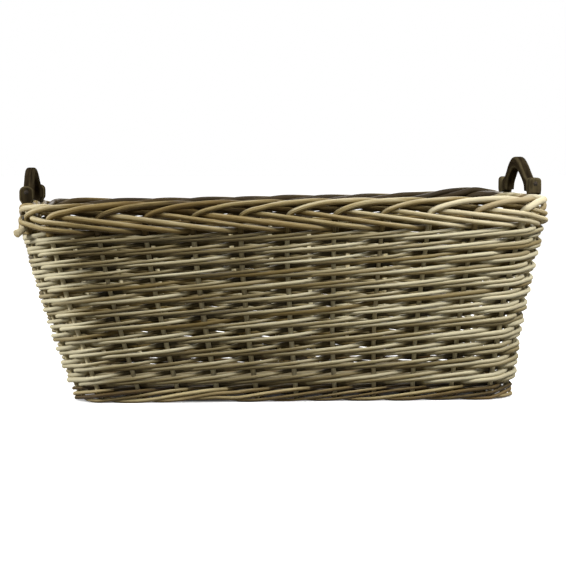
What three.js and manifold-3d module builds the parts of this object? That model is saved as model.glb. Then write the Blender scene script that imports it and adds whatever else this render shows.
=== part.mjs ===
// A rectangular woven market basket with a swinging wooden bow handle at each end.
// Millimetres, +Z up. The basket stands on z = 0, its rim is centred on x = 0, y = 0,
// the long front wall faces -Y and the handles stand at the +X and -X ends.
import * as THREE from "three";
import { mergeVertices } from "three/addons/utils/BufferGeometryUtils.js";
import Module from "manifold-3d";

const wasm = await Module();
wasm.setup();

// Driving dimensions: plan of the wall, measured on the middle line of the stakes
const baseLength = 529; // along X, at floor level
const baseWidth = 292; // along Y, at floor level
const rimLength = 622; // along X, at the underside of the border
const rimWidth = 358; // along Y, at the underside of the border
const baseShift = 14; // the basket is racked: its base sits this far towards +X of its rim
const rimTilt = 10; // how much higher the rim stands at the +X end than at the -X end
const endBow = 12; // how far the middle of an end stands out beyond its corners at the rim
const sideBow = 6; // the same for the long walls
const cornerRadius = 26; // distance from a corner to the stakes on either side of it
const frontIntervals = 10; // stake spaces along a long wall, corner stake to corner stake
const endIntervals = 5; // stake spaces along an end
const postIntervals = 1; // stake spaces from an end's corner stake to one that carries a handle post

// Driving dimensions: rods
const stakeDiameter = 6;
const weaverSize = 4.9; // height and thickness of one weaver
const fitGap = 0.4; // clearance between rods that touch
const jointGap = 0.6; // space between the end of one weaver and the start of the next
const bendRadius = 5; // where a stake turns up from the base
const tuckLength = 50; // how far the stakes of the ends and corners are pushed in under the base
const baseStrips = 5; // strips of base weave between the end corner stakes
const grooveDepth = 1.6; // between two rods of the base

// Driving dimensions: courses, foot and border
const courses = 12; // each course is one weaver, three laps long
const lapsPerCourse = 3;
const footHeight = 19;
const borderHeight = 33;
const tipDiameter = 6.4; // the stakes' tips, plaited to make the border
const tipReach = 7.4; // how far the plaited tips pass from the stakes' middle line
const borderCrown = 1.5; // how much higher the border stands at the middle of a long wall
const baseClearance = 2; // from the floor to the lowest base rod

// Driving dimensions: handles
const postWidth = 16; // along X
const postThickness = 20; // along Y
const pinHeight = 13; // hinge axis above the border
const pinDiameter = 5;
const pinGap = 0.25; // running clearance round a pin
const postSocket = 6; // how deep a stake's tip stands in its post
const bowThickness = 12; // along X
const bowLeg = 16; // along Y
const bowHeight = 46; // crown above the border
const bowCrown = 12.4; // depth of the wood at the crown
const bowShoulder = 4; // where an arm springs, above the hinge axis
const bowDrop = 10; // how far a leg runs below the hinge axis

// Derived sizes
const stakeRadius = stakeDiameter / 2;
const lapPitch = weaverSize + fitGap;
const crossRodZ = baseClearance + stakeRadius;
const longRodZ = crossRodZ + stakeDiameter + fitGap;
const firstLapZ = footHeight + fitGap + weaverSize / 2;
const borderBottom = firstLapZ + lapPitch * lapsPerCourse * courses + weaverSize / 2 + fitGap;
const borderTop = borderBottom + borderHeight;
const postBottom = borderTop + fitGap;
const pinRadius = pinDiameter / 2;
const eyeRadius = pinRadius + pinGap;

const rodSides = 6;
const tipSides = 4;
const pinSides = 12;
const bendSteps = 3;
const uprightSteps = 5; // straight runs of a leaning stake
const postSteps = 8; // facets of a post's round top

// Materials
const finish = (color, roughness, metalness = 0) =>
  new THREE.MeshStandardMaterial({ color, roughness, metalness });
const materials = {
  stake: finish(0x8f8462, 0.7),
  weaver: finish(0x9a8d6c, 0.7),
  border: finish(0xa6966f, 0.7),
  foot: finish(0x857650, 0.75),
  base: finish(0x8a7d5c, 0.8),
  handle: finish(0x3a342a, 0.55),
  pin: finish(0x2c2823, 0.45, 0.8),
};

const lerp = THREE.MathUtils.lerp;
const point = (x, y, z) => new THREE.Vector3(x, y, z);

// Layout of the stakes, counter-clockwise seen from above, starting at the front left corner.
// A stake is one place on a wall: `along` runs from -1 to 1 between the wall's corner stakes.
const walls = [
  { name: "front", facing: 0, intervals: frontIntervals },
  { name: "right", facing: 90, intervals: endIntervals },
  { name: "back", facing: 180, intervals: frontIntervals },
  { name: "left", facing: 270, intervals: endIntervals },
];
const cornerTurn = 22.5; // a corner stake faces partly round its corner

const stakes = walls.flatMap((wall) =>
  Array.from({ length: wall.intervals + 1 }, (_, step) => {
    const along = (2 * step) / wall.intervals - 1;
    const isCorner = step === 0 || step === wall.intervals;
    const turn = wall.facing + (isCorner ? Math.sign(along) * cornerTurn : 0);
    const angle = THREE.MathUtils.degToRad(turn - 90);
    return { wall, step, along, isCorner, out: point(Math.cos(angle), Math.sin(angle), 0) };
  }),
);
const stakeCount = stakes.length;

// The places that a ring passes: every stake, and the middle of the turn at every corner.
const ringPlaces = stakes.flatMap((stake) => {
  if (stake.along < 1) return [stake];
  const angle = THREE.MathUtils.degToRad(stake.wall.facing - 45);
  return [stake, { ...stake, isTurn: true, out: point(Math.cos(angle), Math.sin(angle), 0) }];
});
const stakeOn = (wallName, step) =>
  stakes.find((stake) => stake.wall.name === wallName && stake.step === step);

const isOnEnd = (stake) => stake.wall.name === "left" || stake.wall.name === "right";

// Middle line of a stake at height z: the wall flares up to the border, which stands upright.
function stakePoint(stake, z) {
  const flare = Math.min(z / borderBottom, 1);
  const isEnd = isOnEnd(stake);
  const halfLength = lerp(baseLength, rimLength, flare) / 2;
  const halfWidth = lerp(baseWidth, rimWidth, flare) / 2;
  const [halfRun, halfDepth] = isEnd ? [halfWidth, halfLength] : [halfLength, halfWidth];
  const bow = (isEnd ? endBow : sideBow) * flare * (1 - stake.along ** 2);
  const place = point(stake.along * (halfRun - cornerRadius), -(halfDepth + bow), z);
  if (stake.isTurn) {
    place.x += cornerRadius * Math.SQRT1_2;
    place.y += cornerRadius * (1 - Math.SQRT1_2);
  }
  place.applyAxisAngle(point(0, 0, 1), THREE.MathUtils.degToRad(stake.wall.facing));
  place.x += baseShift * (1 - flare) ** 2;
  place.z += (rimTilt * place.x * z) / (rimLength * borderTop);
  return place;
}
const besideStake = (stake, z, out) => stakePoint(stake, z).addScaledVector(stake.out, out);

// The weavers pass this far from the stakes' middle line, on the slant between two stakes too.
const spacings = stakes.map((stake, i) =>
  stakePoint(stake, 0).distanceTo(stakePoint(stakes[(i + 1) % stakeCount], 0)),
);
const closestStakes = Math.min(...spacings);
const weaverReach = stakeRadius + fitGap;
const steepest = (2 * weaverReach + weaverSize) / closestStakes;
const weaverOffset = weaverSize / 2 + weaverReach * Math.hypot(1, steepest);
const cornerAngle = THREE.MathUtils.degToRad(cornerTurn);
const cornerSlant = (Math.sin(2 * cornerAngle) * weaverOffset) / (cornerRadius * Math.SQRT2);
const cornerOffset = weaverOffset / (Math.cos(cornerAngle) - cornerSlant) + fitGap;

// Geometry helpers
function bufferGeometry(vertices, triangles) {
  const geometry = new THREE.BufferGeometry().setFromPoints(vertices);
  geometry.setIndex(triangles.flat());
  return geometry;
}

// Skins a row of equal outlines, each listed counter-clockwise seen from the row's far end.
function skin(outlines, isClosed) {
  const sides = outlines[0].length;
  const rows = outlines.length;
  const triangles = [];
  for (let row = 0; row < (isClosed ? rows : rows - 1); row++) {
    for (let side = 0; side < sides; side++) {
      const next = (side + 1) % sides;
      const near = row * sides;
      const far = ((row + 1) % rows) * sides;
      triangles.push([near + side, near + next, far + next], [near + side, far + next, far + side]);
    }
  }
  for (let side = 1; !isClosed && side < sides - 1; side++) {
    const last = (rows - 1) * sides;
    triangles.push([0, side + 1, side], [last, last + side, last + side + 1]);
  }
  return bufferGeometry(outlines.flat(), triangles);
}

// A round rod along a path that bends about `axis`, mitred at each point.
function rod(path, radius, axis, sides = rodSides) {
  const outlines = path.map((place, i) => {
    const before = place.clone().sub(path[Math.max(i - 1, 0)]);
    const after = path[Math.min(i + 1, path.length - 1)].clone().sub(place);
    const arriving = (i ? before : after).normalize();
    const leaving = (i < path.length - 1 ? after : before).normalize();
    const tangent = arriving.add(leaving).normalize();
    const stretch = 1 / tangent.dot(leaving);
    const flat = axis.clone().addScaledVector(tangent, -axis.dot(tangent)).normalize();
    const across = tangent.clone().cross(flat);
    return Array.from({ length: sides }, (_, side) => {
      const angle = (2 * Math.PI * side) / sides;
      return place
        .clone()
        .addScaledVector(flat, radius * Math.cos(angle))
        .addScaledVector(across, radius * stretch * Math.sin(angle));
    });
  });
  return skin(outlines, false);
}

// A ring round all the stakes, from its outline at each place: [height, distance out] in turn.
const wallRing = (outlineAt) =>
  skin(
    ringPlaces.map((place) => outlineAt(place).map(([z, out]) => besideStake(place, z, out))),
    true,
  );

function solidOf(geometry) {
  const bare = geometry.clone();
  bare.deleteAttribute("normal");
  bare.deleteAttribute("uv");
  const merged = mergeVertices(bare, 1e-4);
  return new wasm.Manifold(
    new wasm.Mesh({
      numProp: 3,
      vertProperties: merged.attributes.position.array,
      triVerts: new Uint32Array(merged.index.array),
    }),
  );
}

function geometryOf(solid) {
  const mesh = solid.getMesh();
  const made = new THREE.BufferGeometry();
  made.setAttribute("position", new THREE.BufferAttribute(mesh.vertProperties, 3));
  made.setIndex(new THREE.BufferAttribute(mesh.triVerts, 1));
  return made;
}

// One body from pieces that run into each other, with any pocket shut between them filled.
function joined(pieces) {
  const shells = pieces.map(solidOf).reduce((all, piece) => all.add(piece)).decompose();
  return geometryOf(shells.reduce((most, shell) => (shell.volume() > most.volume() ? shell : most)));
}
const cut = (geometry, tools) =>
  geometryOf(tools.reduce((left, tool) => left.subtract(solidOf(tool)), solidOf(geometry)));

const basket = new THREE.Group();
function add(name, geometry, material, parent = basket) {
  const mesh = new THREE.Mesh(geometry, material);
  mesh.name = name;
  parent.add(mesh);
  return mesh;
}

// Stakes: they come up through the weave and end under the border, or in a handle post.
const postTip = postBottom + postSocket - fitGap;
const postStepAt = { front: postIntervals, back: endIntervals - postIntervals }; // on the right end
const isPostStep = (step) => Object.values(postStepAt).includes(step);

// One upright from its top down to the floor of the bend, where it has turned flat.
function upright(stake, floorZ, isPost) {
  const up = stakePoint(stake, borderBottom).sub(stakePoint(stake, 0)).normalize();
  const slantedEnd = stakeRadius * Math.hypot(up.x, up.y);
  const top = isPost ? borderBottom : borderBottom - fitGap - slantedEnd;
  const bendTop = floorZ + bendRadius;
  const heights = Array.from({ length: uprightSteps }, (_, i) => lerp(top, bendTop, i / uprightSteps));
  const path = [...(isPost ? [postTip] : []), ...heights].map((z) => stakePoint(stake, z));
  const corner = stakePoint(stake, floorZ);
  const end = corner.clone().addScaledVector(wallNormal(stake), -bendRadius);
  const bend = new THREE.QuadraticBezierCurve3(stakePoint(stake, bendTop), corner, end);
  return path.concat(bend.getPoints(bendSteps));
}

// Straight out of the wall, with no turn round a corner.
function wallNormal(stake) {
  const angle = THREE.MathUtils.degToRad(stake.wall.facing - 90);
  return point(Math.cos(angle), Math.sin(angle), 0);
}

// A rod that is the stake of the front, runs under the base and is the stake of the back.
for (let step = 1; step < frontIntervals; step++) {
  const near = upright(stakeOn("front", step), crossRodZ, false);
  const far = upright(stakeOn("back", frontIntervals - step), crossRodZ, false);
  const geometry = rod([...near, ...far.reverse()], stakeRadius, point(1, 0, 0));
  add(`cross_stake_${step}`, geometry, materials.stake);
}

// A stake of an end or a corner, pushed in under the base.
function tuckedStake(stake, floorZ, isPost) {
  const path = upright(stake, floorZ, isPost);
  const tip = path.at(-1).clone().addScaledVector(wallNormal(stake), -tuckLength);
  return rod([...path, tip], stakeRadius, isOnEnd(stake) ? point(0, 1, 0) : point(1, 0, 0));
}
for (const stake of stakes.filter((each) => isOnEnd(each) && !each.isCorner)) {
  const geometry = tuckedStake(stake, crossRodZ, isPostStep(stake.step));
  add(`end_stake_${stake.wall.name}_${stake.step}`, geometry, materials.stake);
}
const cornerNames = {
  front: ["left", "right"],
  right: ["front", "back"],
  back: ["right", "left"],
  left: ["back", "front"],
};
for (const stake of stakes.filter((each) => each.isCorner)) {
  const side = cornerNames[stake.wall.name][stake.step ? 1 : 0];
  const geometry = tuckedStake(stake, isOnEnd(stake) ? longRodZ : crossRodZ, false);
  add(`corner_stake_${stake.wall.name}_${side}`, geometry, materials.stake);
}

// Base weave: strips of rods on the cross rods and tucked tips, parted by the end corner stakes.
const stripBottom = crossRodZ + stakeRadius + fitGap;
const stripTop = longRodZ + stakeRadius - fitGap;
const rodEdge = stakeRadius + fitGap;
const cornerLine = stakePoint(stakeOn("right", endIntervals), longRodZ).y;
const baseBack = stakePoint(stakeOn("back", 1), crossRodZ).y - bendRadius - rodEdge;
const stripPitch = (2 * (cornerLine - rodEdge) + fitGap) / baseStrips;
const stripEdges = [
  [-baseBack, -cornerLine - rodEdge],
  ...Array.from({ length: baseStrips }, (_, i) => {
    const low = rodEdge - cornerLine + i * stripPitch;
    return [low, low + stripPitch - fitGap];
  }),
  [cornerLine + rodEdge, baseBack],
];

// A strip is a row of round rods, pressed together: its outline has a groove between two rods.
function stripGeometry(width, height, length) {
  const count = Math.round(width / height);
  const half = width / count / 2;
  const across = (i) => (2 * i + 1) * half - width / 2;
  const top = Array.from({ length: count }, (_, i) => [
    [across(i) - half, height / 2 - grooveDepth],
    [across(i) - half / 2, height / 2],
    [across(i) + half / 2, height / 2],
  ]).flat();
  const edge = [...top, [width / 2, height / 2 - grooveDepth]];
  const under = edge.map(([y, z]) => [-y, -z]);
  const outline = new THREE.Shape([...edge, ...under].map(([y, z]) => new THREE.Vector2(y, z)));
  const body = new THREE.ExtrudeGeometry(outline, { depth: length, bevelEnabled: false });
  return body.translate(0, 0, -length / 2).rotateX(Math.PI / 2).rotateZ(Math.PI / 2);
}
const baseRight = stakePoint(stakeOn("right", 1), crossRodZ).x;
const baseLeft = stakePoint(stakeOn("left", 1), crossRodZ).x;
stripEdges.forEach(([low, high], i) => {
  const isOuter = i === 0 || i === stripEdges.length - 1;
  const length = baseRight - baseLeft - 2 * (isOuter ? cornerRadius : bendRadius + rodEdge);
  const rods = stripGeometry(high - low, stripTop - stripBottom, length);
  add(`base_weave_${i + 1}`, rods, materials.base).position.set(
    (baseLeft + baseRight) / 2,
    (low + high) / 2,
    (stripBottom + stripTop) / 2,
  );
});

// Foot: the band of rods round the turned-up stakes, which the basket stands on.
const footIn = stakeRadius + fitGap;
const footOut = footIn + weaverSize;
const footOutline = [
  [0, footOut],
  [0, footIn],
  [footHeight, footIn],
  [footHeight, footOut],
];
add("foot_wale", wallRing(() => footOutline), materials.foot);

// Wale courses: one unbroken weaver each, three laps in front of two stakes and behind the next.
// The stake count isn't a multiple of three, so each lap passes behind a different stake.
const stakesPerCourse = stakeCount * lapsPerCourse;
const firstStake = stakes.indexOf(stakeOn("back", frontIntervals / 2));
function weaverOutline(index) {
  const stake = stakes[(firstStake + index) % stakeCount];
  const z = firstLapZ + (lapPitch * index) / stakeCount;
  const offset = stake.isCorner ? cornerOffset : weaverOffset;
  const out = index % 3 === 2 ? -offset : offset;
  const half = weaverSize / 2;
  return [
    besideStake(stake, z - half, out + half),
    besideStake(stake, z - half, out - half),
    besideStake(stake, z + half, out - half),
    besideStake(stake, z + half, out + half),
  ];
}
for (let course = 0; course < courses; course++) {
  const start = course * stakesPerCourse;
  const outlines = Array.from({ length: stakesPerCourse + 1 }, (_, i) => weaverOutline(start + i));
  const last = outlines.length - 1;
  outlines[last] = outlines[last].map((corner, i) => {
    const before = outlines[last - 1][i];
    return corner.clone().sub(before).setLength(corner.distanceTo(before) - jointGap).add(before);
  });
  add(`wale_course_${String(course + 1).padStart(2, "0")}`, skin(outlines, false), materials.weaver);
}

// Border: the stakes' tips, plaited round the rim and pressed together where they cross.
const tipRadius = tipDiameter / 2;
const crownAt = (place) => (isOnEnd(place) ? 0 : borderCrown * (1 - place.along ** 2));

// A tip rises to the top edge, crosses to the inside, comes out past the third stake and slopes
// down in front of two more: [stake spaces passed, share of the height, share of the reach].
const tipRun = [
  [0.05, 0.36, 0.2],
  [0.25, 0.58, 0.9],
  [0.95, 0.95, 0.8],
  [1.55, 1, -0.1],
  [2.2, 0.78, -1],
  [2.95, 0.46, -0.8],
  [3.4, 0.36, 0.8],
  [4, 0.24, 1],
  [5, 0.05, 1],
  [5.7, 0, 0.6],
];
function tipPoint(stake, [spaces, rise, reach]) {
  const count = stakes.indexOf(stake) + spaces;
  const before = stakes[Math.floor(count) % stakeCount];
  const after = stakes[(Math.floor(count) + 1) % stakeCount];
  const beside = [before, after].map((place) => {
    const height = borderHeight + crownAt(place) - tipDiameter;
    return besideStake(place, borderBottom + tipRadius + rise * height, reach * tipReach);
  });
  return beside[0].lerp(beside[1], count % 1);
}
const plaitedTip = (stake) =>
  rod(tipRun.map((step) => tipPoint(stake, step)), tipRadius, point(0, 0, 1), tipSides);

// The stakes that carry posts run straight up through the plait.
const postStakes = stakes.filter((stake) => isOnEnd(stake) && isPostStep(stake.step));
function tipHole(stake) {
  const heights = [postBottom + postSocket, borderBottom, borderBottom - bendRadius];
  const path = heights.map((z) => stakePoint(stake, z));
  return rod(path, stakeRadius + fitGap, point(0, 1, 0));
}
const border = joined(stakes.map(plaitedTip));
add("rim_border", cut(border, postStakes.map(tipHole)), materials.border);

// Handles: two posts socketed on stakes, and a bow that swings on a pin through each post.
const postY = stakePoint(stakeOn("right", postStepAt.back), borderTop).y;
const bowHalf = postY - postThickness / 2 - fitGap;

function postGeometry() {
  const half = postWidth / 2;
  const outline = new THREE.Shape();
  outline.moveTo(-half, 0);
  outline.lineTo(half, 0);
  outline.lineTo(half, pinHeight);
  outline.absarc(0, pinHeight, half, 0, Math.PI);
  outline.closePath();
  outline.holes.push(new THREE.Path().absarc(0, pinHeight, eyeRadius, 0, 2 * Math.PI, true));
  const options = { depth: postThickness, bevelEnabled: false, curveSegments: postSteps };
  const body = new THREE.ExtrudeGeometry(outline, options);
  return body.rotateX(Math.PI / 2).translate(0, postThickness / 2, 0);
}

// A bow is a tent of two sloping arms with a rounded crown. Half of its outer and inner edge,
// from a leg to the crown, as shares of the half span and of the rise.
const outerEdgeShares = [
  [1, 0],
  [0.93, 0.06],
  [0.83, 0.11],
  [0.74, 0.16],
  [0.61, 0.27],
  [0.47, 0.465],
  [0.32, 0.67],
  [0.18, 0.87],
  [0.08, 0.97],
];
const innerEdgeShares = [
  [1, 0],
  [0.97, 0.06],
  [0.92, 0.15],
  [0.85, 0.26],
  [0.74, 0.4],
  [0.6, 0.56],
  [0.44, 0.735],
  [0.27, 0.89],
  [0.12, 0.975],
];
function bowEdge(keys, halfSpan, bottom, top) {
  const rising = keys.map(([span, rise]) => new THREE.Vector2(halfSpan * span, lerp(bottom, top, rise)));
  const falling = rising.map((key) => new THREE.Vector2(-key.x, key.y)).reverse();
  return [...rising, new THREE.Vector2(0, top), ...falling];
}

// The bow's outline is drawn across the basket end, with the hinge axis at height 0.
function bowGeometry() {
  const crown = bowHeight - pinHeight;
  const outside = bowEdge(outerEdgeShares, bowHalf, bowShoulder, crown);
  const inside = bowEdge(innerEdgeShares, bowHalf - bowLeg, -bowDrop, crown - bowCrown);
  const toes = [new THREE.Vector2(-bowHalf, -bowDrop), new THREE.Vector2(bowHalf, -bowDrop)];
  const outline = new THREE.Shape([...outside, toes[0], ...inside.reverse(), toes[1]]);
  const body = new THREE.ExtrudeGeometry(outline, { depth: bowThickness, bevelEnabled: false });
  body.translate(0, 0, -bowThickness / 2).rotateX(Math.PI / 2).rotateZ(Math.PI / 2);
  const eyes = [-1, 1].map((side) => {
    const eye = new THREE.CylinderGeometry(eyeRadius, eyeRadius, bowLeg + 2 * fitGap, pinSides);
    return eye.translate(0, side * (bowHalf - bowLeg / 2), 0);
  });
  return cut(body, eyes);
}

const pinLength = postThickness + bowLeg;
for (const end of ["right", "left"]) {
  const facing = end === "right" ? 1 : -1;
  const seat = stakePoint(stakeOn(end, postStepAt.front), borderTop);
  const handle = new THREE.Group();
  handle.position.set(seat.x, 0, seat.z + fitGap + pinHeight);
  basket.add(handle);
  add(`handle_${end}_bow`, bowGeometry(), materials.handle, handle);
  const sides = [
    ["front", -1],
    ["back", 1],
  ];
  for (const [name, side] of sides) {
    const stake = stakeOn(end, side * facing > 0 ? postStepAt.back : postStepAt.front);
    const place = stakePoint(stake, borderTop);
    const post = postGeometry().translate(place.x, place.y, place.z + fitGap);
    add(`handle_${end}_${name}_post`, cut(post, [tipHole(stake)]), materials.handle);
    const pin = new THREE.CylinderGeometry(pinRadius, pinRadius, pinLength, pinSides);
    const pinMesh = add(`handle_${end}_${name}_pin`, pin, materials.pin, handle);
    pinMesh.position.y = side * (postY + postThickness / 2 - pinLength / 2);
  }
}

export default basket;
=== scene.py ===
# %% [markdown]
# # A market basket woven from rods
# The basket is a wall of upright stakes with thinner rods woven through them, a plaited
# border at the top, a low foot at the bottom and a dark wooden handle at each end.
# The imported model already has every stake, course, post and bow in its true place, so the
# scene loads it first and then dresses each of its nodes with a piece that shows the weave.
# Units are metres, the basket stands on z = 0 and its front wall faces -Y.

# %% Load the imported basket
import math
import bpy
import numpy as np
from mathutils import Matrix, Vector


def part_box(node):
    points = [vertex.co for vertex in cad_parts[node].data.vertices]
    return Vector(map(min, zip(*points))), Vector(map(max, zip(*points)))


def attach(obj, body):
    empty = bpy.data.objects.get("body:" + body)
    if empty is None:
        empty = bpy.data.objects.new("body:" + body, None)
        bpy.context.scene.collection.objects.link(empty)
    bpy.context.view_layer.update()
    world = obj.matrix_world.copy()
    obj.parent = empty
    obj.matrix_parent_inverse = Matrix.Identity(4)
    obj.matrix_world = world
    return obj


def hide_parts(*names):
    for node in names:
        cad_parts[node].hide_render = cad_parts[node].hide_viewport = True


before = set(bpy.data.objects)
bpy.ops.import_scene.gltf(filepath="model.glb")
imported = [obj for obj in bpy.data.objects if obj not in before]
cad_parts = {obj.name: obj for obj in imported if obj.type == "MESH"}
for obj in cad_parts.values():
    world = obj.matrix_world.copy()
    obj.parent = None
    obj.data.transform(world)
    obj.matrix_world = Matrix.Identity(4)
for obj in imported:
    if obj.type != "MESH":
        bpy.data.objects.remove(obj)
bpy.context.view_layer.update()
rng = np.random.default_rng(38)

# %% [markdown]
# ## The plan of the wall
# Every rod of this basket is placed from the stakes, so the stakes come first. They stand in
# four rows, one for each wall, counted round the basket from the front left corner. The wall
# flares from the base to the rim and its base sits a little to the right of the rim, because
# an old basket leans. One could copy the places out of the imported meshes, but a short rule
# with the basket's own sizes is easier to read and gives the places between the stakes too.

# %% Sizes of the wall and the rows of stakes
BASE_LENGTH, BASE_WIDTH = 0.529, 0.292
RIM_LENGTH, RIM_WIDTH = 0.622, 0.358
RIM_Z, RIM_TOP = 0.2155, 0.2485  # underside and top of the border
BASE_LEAN = 0.014  # the base sits this far to the right of the rim
RIM_TILT = 0.010  # the right end of the rim is this much higher than the left
END_BOW, SIDE_BOW = 0.012, 0.006  # at the rim, the middle of an end or long wall stands out
CORNER = 0.026  # from a corner to the stakes on both sides of it
CORNER_TURN = math.radians(22.5)  # these stakes face this much towards the corner

rows = [(0, 10), (90, 5), (180, 10), (270, 5)]  # which way a wall faces, and its stake spaces
stake_facing = np.concatenate([np.full(spaces + 1, math.radians(turn)) for turn, spaces in rows])
stake_along = np.concatenate([np.linspace(-1, 1, spaces + 1) for turn, spaces in rows])
stake_on_end = np.concatenate([np.full(spaces + 1, turn % 180 == 90) for turn, spaces in rows])
beside_corner = np.abs(stake_along) == 1
STAKES = len(stake_along)
FRONT, RIGHT, BACK, LEFT = 0, 11, 17, 28  # number of the first stake on each wall
print("stakes round the basket:", STAKES)

# %% Where a stake stands, and which way is out
def ease(value, start, end):
    """0 before start, 1 after end and a straight slope between; start may be the larger one."""
    return np.clip((value - start) / (end - start), 0, 1)

def stake_place(number, height):
    flare = ease(height, 0, RIM_Z)
    half_length = (BASE_LENGTH + (RIM_LENGTH - BASE_LENGTH) * flare) / 2
    half_width = (BASE_WIDTH + (RIM_WIDTH - BASE_WIDTH) * flare) / 2
    along, on_end, turn = stake_along[number], stake_on_end[number], stake_facing[number]
    run = np.where(on_end, half_width, half_length) - CORNER
    bow = np.where(on_end, END_BOW, SIDE_BOW) * flare * (1 - along ** 2)
    depth = np.where(on_end, half_length, half_width) + bow
    x = along * run * np.cos(turn) + depth * np.sin(turn) + BASE_LEAN * (1 - flare) ** 2
    y = along * run * np.sin(turn) - depth * np.cos(turn)
    return np.stack([x, y, height * (1 + RIM_TILT * x / (RIM_LENGTH * RIM_TOP))], -1)

corner_turn = np.where(beside_corner, np.sign(stake_along) * CORNER_TURN, 0)
out_angle = stake_facing + corner_turn - math.pi / 2
stake_out = np.stack([np.cos(out_angle), np.sin(out_angle), 0 * out_angle], -1)

def wall_place(count, height, out):
    """A point of the wall: count in stake spaces round the basket, and out from the stakes."""
    count, height, out = np.broadcast_arrays(*[np.asarray(v, float) for v in (count, height, out)])
    before = np.floor(count).astype(int)
    share = (count - before)[..., None]
    one, two = before % STAKES, (before + 1) % STAKES
    place = stake_place(one, height) * (1 - share) + stake_place(two, height) * share
    normal = stake_out[one] * (1 - share) + stake_out[two] * share
    normal /= np.linalg.norm(normal, axis=-1, keepdims=True)
    return place + normal * out[..., None]

print("front left corner at the rim:", np.round(stake_place(FRONT, RIM_Z), 3))

# %% [markdown]
# ## One helper for every rod
# A woven rod is a tube along a path. A Blender curve with a bevel would do for one rod, but
# here a mesh made directly is better: it can taper, be a little out of round and have cut
# ends, and each point can carry numbers for the finish. Three are stored: the tone of the
# rod, how brown it is, and its grain, which is the distance along the rod and the direction
# round it. The finish reads them, so that streaks run lengthwise on every bend. The tone
# holds painted light and shade too: paler on top, darker on the inner side and darker in
# the recesses behind the stakes.

# %% Rings of points along a path
SIDES = 8
OUT_OF_ROUND, OVAL_TURN = 0.05, 90  # a rod is a little oval, and turned by where it starts
NO_ROD_WAY = (0.3, 0.2, 0.93)  # no rod starts in this direction
CUT_STEP, CUT_SIZE = 0.04, 0.78  # worn edge of a cut end, in steps of the path and in radii
ring_angle = np.linspace(0, 2 * math.pi, SIDES, endpoint=False)

def smooth(points, times=1):
    for _ in range(times):
        points[1:-1] = (points[:-2] + 2 * points[1:-1] + points[2:]) / 4
    return points

def rings_along(points, radii):
    """Rings of points round a path, carried along it without twisting."""
    ahead = np.gradient(points, axis=0)
    ahead /= np.linalg.norm(ahead, axis=1, keepdims=True)
    side = np.cross(ahead[0], NO_ROD_WAY)
    sides = []
    for direction in ahead:
        side = side - direction * side.dot(direction)
        side = side / np.linalg.norm(side)
        sides.append(side)
    sides = np.array(sides)
    ups = np.cross(ahead, sides)
    oval = 1 + OUT_OF_ROUND * np.cos(2 * ring_angle + points[0, 0] * OVAL_TURN)
    cosine, sine = np.cos(ring_angle)[None, :, None], np.sin(ring_angle)[None, :, None]
    across = cosine * sides[:, None] + sine * ups[:, None]
    return points[:, None] + radii[:, None, None] * oval[None, :, None] * across, across

def with_cut_ends(points, radii):
    """A narrow last ring at both ends, so that a cut end has a small worn edge."""
    first = points[0] - (points[1] - points[0]) * CUT_STEP
    last = points[-1] + (points[-1] - points[-2]) * CUT_STEP
    points = np.concatenate([[first], points, [last]])
    return points, np.concatenate([[radii[0] * CUT_SIZE], radii, [radii[-1] * CUT_SIZE]])

print("sides of a rod:", SIDES)

# %% Painted light and shade on a rod
PLAN_SHARE = (0.55, 1, 0)  # squares up the plan, so that out is out on every wall
LIGHT_FROM_ABOVE, SHADE_INSIDE = 0.33, 0.28
RECESS_SHADE_REACH = 0.6  # how far painted shade on the outer side goes round a rod
NOT_ZERO = 1e-6

def painted_light_and_shade(points, across, recess_shade):
    """Painted light and shade: the upper side of a rod is paler, its lower and inner sides darker, and its
    recesses darker still.
    """
    away = points * PLAN_SHARE
    away = away / np.maximum(np.linalg.norm(away, axis=1, keepdims=True), NOT_ZERO)
    outside = (across * away[:, None]).sum(-1)
    # painted shade in recesses, strongest on the outer side of the rod
    painted_recess_shade = recess_shade[:, None] * np.clip(RECESS_SHADE_REACH + outside, 0, 1)
    return LIGHT_FROM_ABOVE * across[..., 2] + SHADE_INSIDE * np.minimum(outside, 0) - painted_recess_shade

print("tone gained on top and lost inside:", LIGHT_FROM_ABOVE, SHADE_INSIDE)

# %% A mesh whose points carry numbers
def linked(name, data):
    piece = bpy.data.objects.new(name, data)
    bpy.context.scene.collection.objects.link(piece)
    return piece

def tube_faces(first, count, sides):
    """Faces between the rings of a tube, and one at each end."""
    number = first + np.arange(count * sides).reshape(count, sides)
    beside = np.roll(number, -1, axis=1)
    faces = np.stack([number[:-1], beside[:-1], beside[1:], number[1:]], -1).reshape(-1, 4).tolist()
    return faces + [number[0, ::-1].tolist(), number[-1].tolist()]

def mesh_piece(name, corners, faces, finish, **numbers):
    """A smooth mesh whose points carry numbers, or threes of numbers, for the finish to read."""
    mesh = bpy.data.meshes.new(name)
    mesh.from_pydata(corners.tolist(), [], faces)
    mesh.shade_smooth()
    for label, values in numbers.items():
        kind, field = ("FLOAT", "value") if values.ndim == 1 else ("FLOAT_VECTOR", "vector")
        layer = mesh.attributes.new(label, kind, "POINT")
        layer.data.foreach_set(field, values.astype(np.float32).ravel())
    mesh.materials.append(finish)
    return linked(name, mesh)

print("faces of the shortest rod:", len(tube_faces(0, 2, SIDES)))

# %% Many rods in one mesh
GRAIN_LENGTH = 40  # each rod starts somewhere else along the grain

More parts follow.
